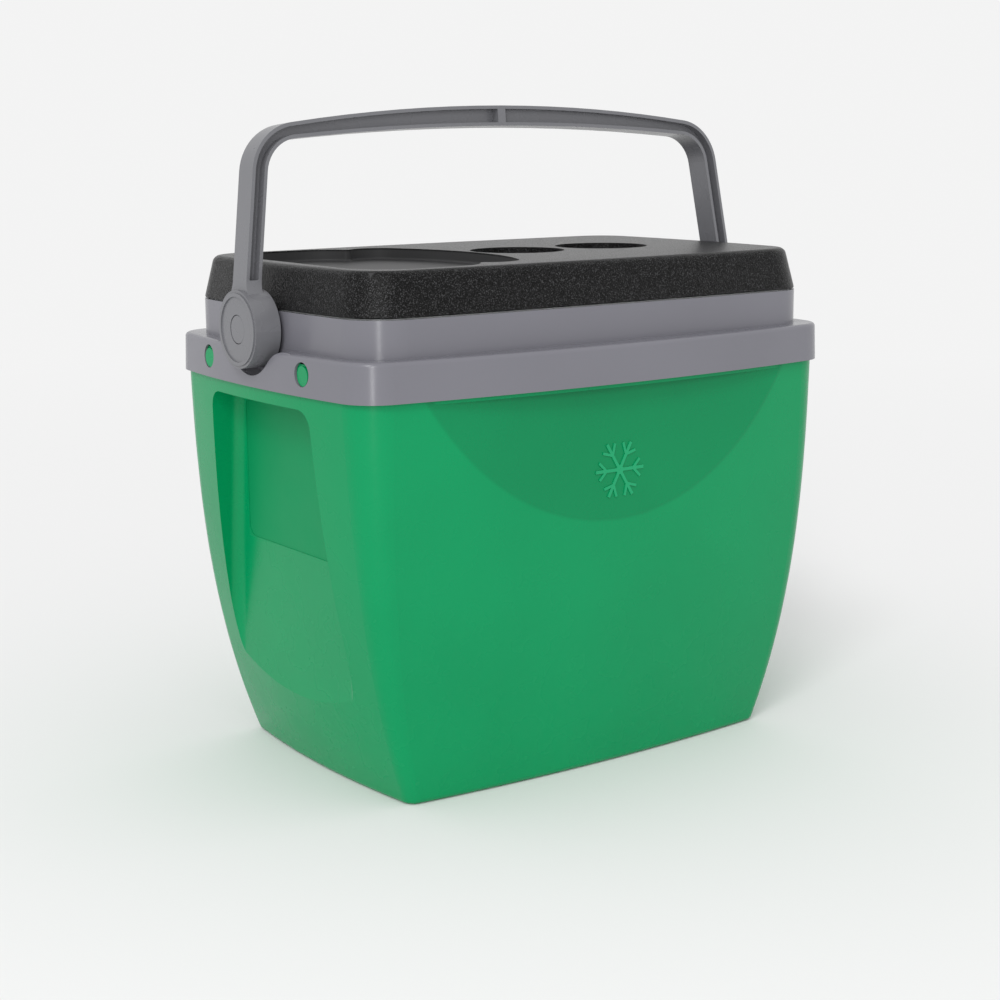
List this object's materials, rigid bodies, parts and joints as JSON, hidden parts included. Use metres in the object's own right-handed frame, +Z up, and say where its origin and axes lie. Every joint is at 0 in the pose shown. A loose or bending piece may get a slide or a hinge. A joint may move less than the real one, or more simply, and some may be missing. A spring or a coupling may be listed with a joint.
{
  "type": "cooler box",
  "caption": "Hand-carried insulated cooler box with a tapered tub, stepped rim, lift-off lid with a tray and cup wells, and a folding carrying bail",
  "frame": {"origin": "middle of the base, on the surface the box stands on", "axes": "+X along the length to the right end, -Y out of the front with the flat smile-shaped panel, +Z up"},
  "size_m": [0.463, 0.3008, 0.4868],
  "materials": {
    "green_plastic": "satin",
    "pale_green_plastic": "satin",
    "grey_plastic": "satin",
    "black_plastic": "fine pebble grain",
    "white_plastic": "satin",
    "foam": "matt"
  },
  "bodies": {
    "box": {"outer_shell": "green_plastic", "front_emblem": "pale_green_plastic", "body_foam": "foam", "inner_liner": "white_plastic", "rim_band": "grey_plastic", "pivot_pin_left": "grey_plastic", "pivot_pin_right": "grey_plastic"},
    "lid": {"lid_cover": "black_plastic", "lid_panel": "white_plastic", "lid_foam": "foam"},
    "handle": {"handle_bail": "grey_plastic"}
  },
  "joints": [
    {"name": "lid_lift", "type": "slide", "parent": "box", "child": "lid", "axis": [0, 0, 1], "range_m": [0, 0.045]},
    {"name": "bail_fold", "type": "hinge", "parent": "box", "child": "handle", "pos_m": [0, 0, 0.333], "axis": [1, 0, 0], "range_deg": [-85, 94]}
  ]
}
